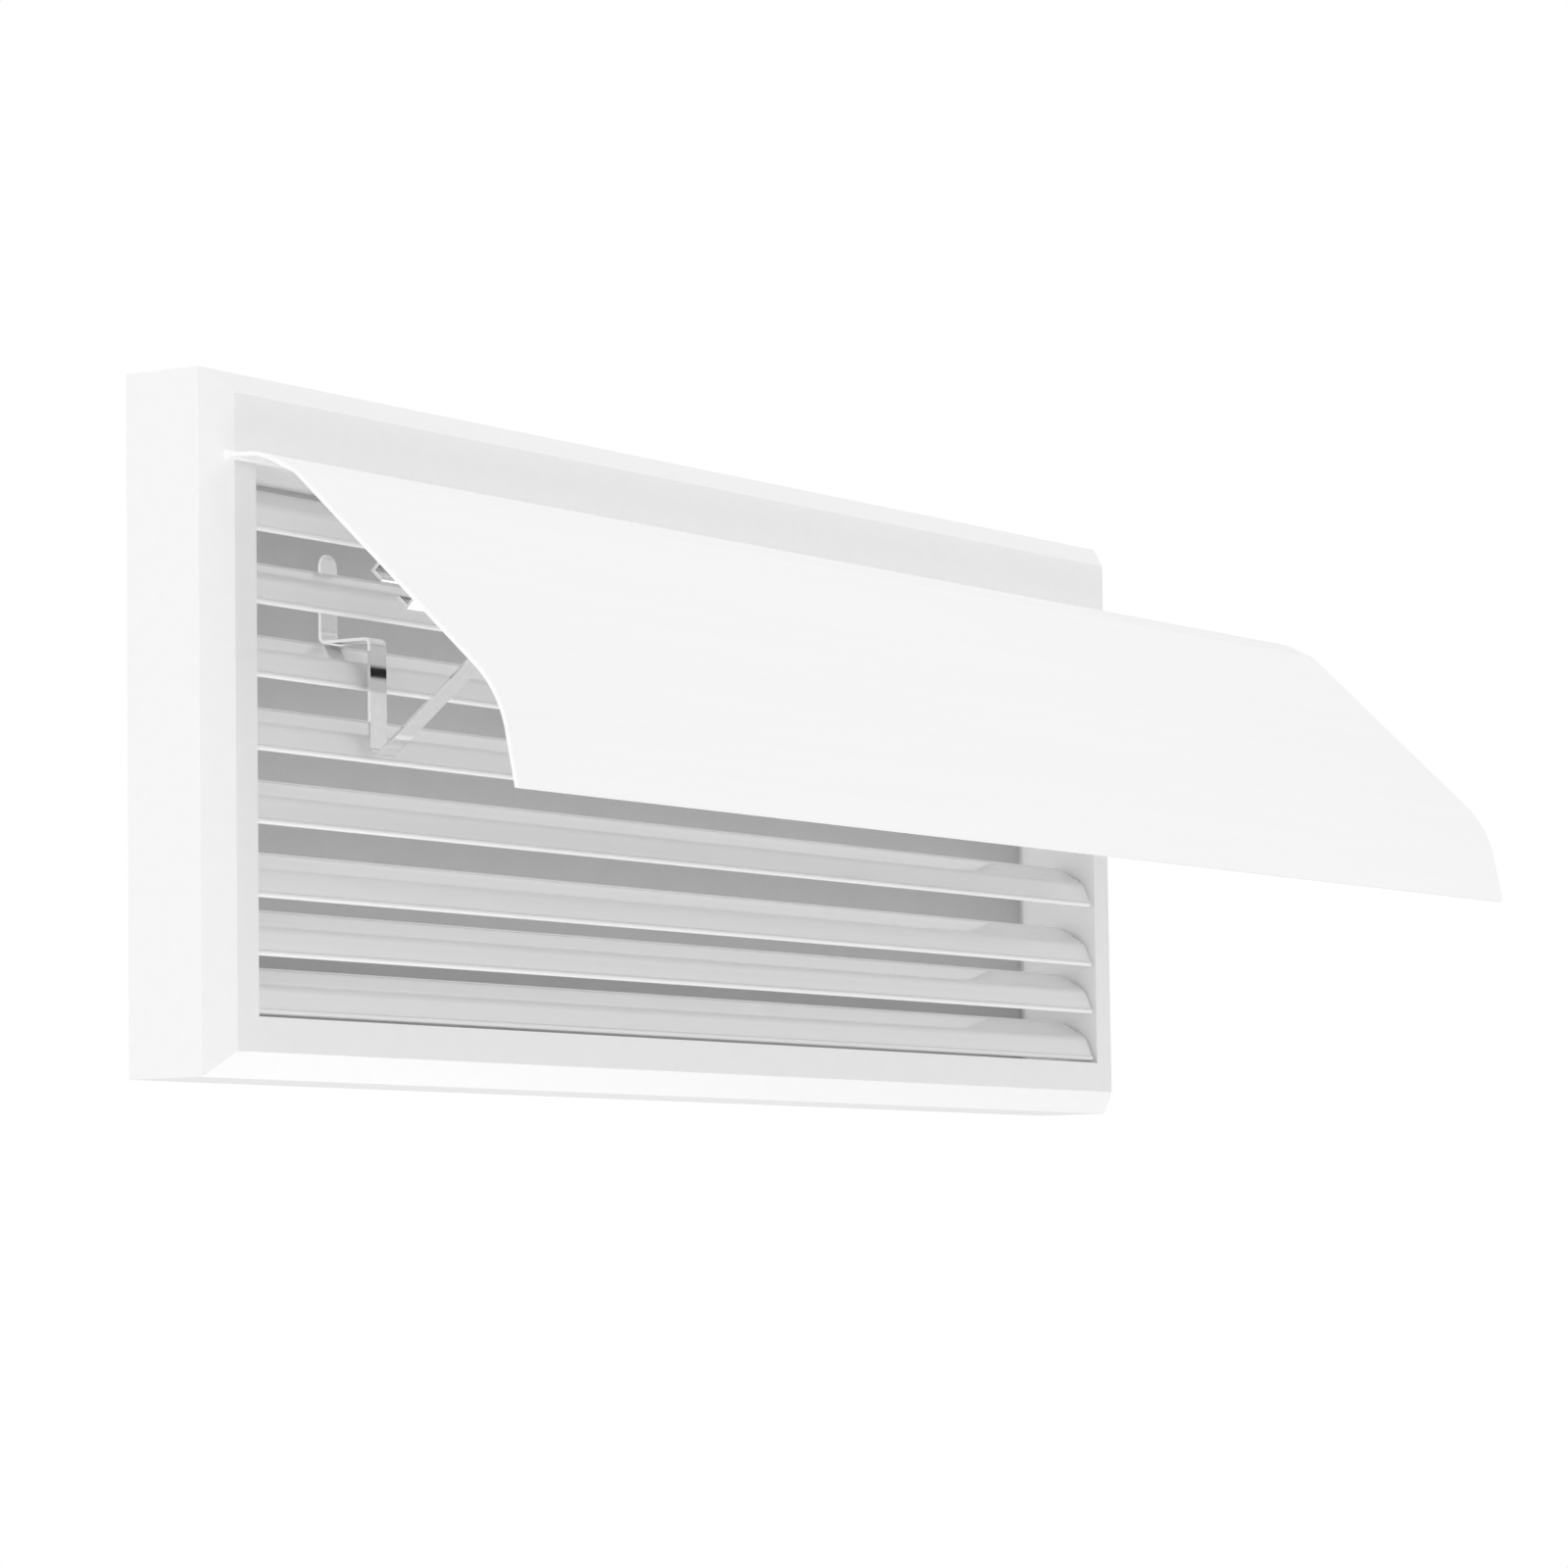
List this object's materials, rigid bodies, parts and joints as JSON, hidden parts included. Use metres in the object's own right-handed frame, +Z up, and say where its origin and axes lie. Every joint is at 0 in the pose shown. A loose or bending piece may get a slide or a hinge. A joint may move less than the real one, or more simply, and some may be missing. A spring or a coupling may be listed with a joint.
{
  "type": "louvred vent cover with air deflector",
  "caption": "White ceiling or wall vent cover: bevelled frame, turning slats over a grey pad, and a curved air deflector hung in front on bent chromed stays.",
  "frame": {"origin": "centre of the cover's back face, in the plane of the wall, at the middle of the screw pattern", "axes": "+X along the cover's width to the right seen from the front, +Y into the wall, -Y out of the face, +Z up the wall"},
  "size_m": [0.782, 0.1653, 0.25],
  "materials": {
    "cover_white": "satin white moulded ABS",
    "wall_frame_white": "matt white moulded ABS",
    "filter_grey": "grey non-woven pad",
    "slat_white": "gloss white painted extrusion",
    "pivot_nylon": "natural nylon",
    "deflector_white": "satin white extruded sheet",
    "rail_metal": "bright polished extrusion",
    "stay_chrome": "bright chromed steel strip",
    "shoe_nylon": "natural nylon"
  },
  "bodies": {
    "cover": {"cover_frame": "cover_white", "wall_frame": "wall_frame_white", "filter_pad": "filter_grey", "slat_2": "slat_white", "slat_pivots_2": "pivot_nylon", "slat_3": "slat_white", "slat_pivots_3": "pivot_nylon"},
    "turning_slat_1": {"slat_1": "slat_white", "slat_pivots_1": "pivot_nylon"},
    "turning_slat_4": {"slat_4": "slat_white", "slat_pivots_4": "pivot_nylon"},
    "turning_slat_5": {"slat_5": "slat_white", "slat_pivots_5": "pivot_nylon"},
    "turning_slat_6": {"slat_6": "slat_white", "slat_pivots_6": "pivot_nylon"},
    "turning_slat_7": {"slat_7": "slat_white", "slat_pivots_7": "pivot_nylon"},
    "turning_slat_8": {"slat_8": "slat_white", "slat_pivots_8": "pivot_nylon"},
    "deflector_set": {"deflector": "deflector_white", "stay_rail": "rail_metal"},
    "left_stay_set": {"stay_left": "stay_chrome", "stay_shoe_left": "shoe_nylon"},
    "right_stay_set": {"stay_right": "stay_chrome", "stay_shoe_right": "shoe_nylon"}
  },
  "joints": [
    {"name": "slat_1_turn", "type": "hinge", "parent": "cover", "child": "turning_slat_1", "pos_m": [0, -0.0299, 0.0785], "axis": [1, 0, 0], "range_deg": [-25, 40]},
    {"name": "slat_4_turn", "type": "hinge", "parent": "cover", "child": "turning_slat_4", "pos_m": [0, -0.0299, 0.0005], "axis": [1, 0, 0], "range_deg": [-15, 40]},
    {"name": "slat_5_turn", "type": "hinge", "parent": "cover", "child": "turning_slat_5", "pos_m": [0, -0.0299, -0.0255], "axis": [1, 0, 0], "range_deg": [-25, 40]},
    {"name": "slat_6_turn", "type": "hinge", "parent": "cover", "child": "turning_slat_6", "pos_m": [0, -0.0299, -0.0515], "axis": [1, 0, 0], "range_deg": [-25, 30]},
    {"name": "slat_7_turn", "type": "hinge", "parent": "cover", "child": "turning_slat_7", "pos_m": [0, -0.0299, -0.0721], "axis": [1, 0, 0], "range_deg": [-25, 30]},
    {"name": "slat_8_turn", "type": "hinge", "parent": "cover", "child": "turning_slat_8", "pos_m": [0, -0.0299, -0.0927], "axis": [1, 0, 0], "range_deg": [-25, 4]},
    {"name": "deflector_slide", "type": "slide", "parent": "cover", "child": "deflector_set", "axis": [1, 0, 0], "range_m": [-0.13, 0.07]},
    {"name": "stay_left_slide", "type": "slide", "parent": "cover", "child": "left_stay_set", "axis": [1, 0, 0], "range_m": [-0.06, 0.215]},
    {"name": "stay_right_slide", "type": "slide", "parent": "cover", "child": "right_stay_set", "axis": [1, 0, 0], "range_m": [-0.215, 0.06]}
  ]
}
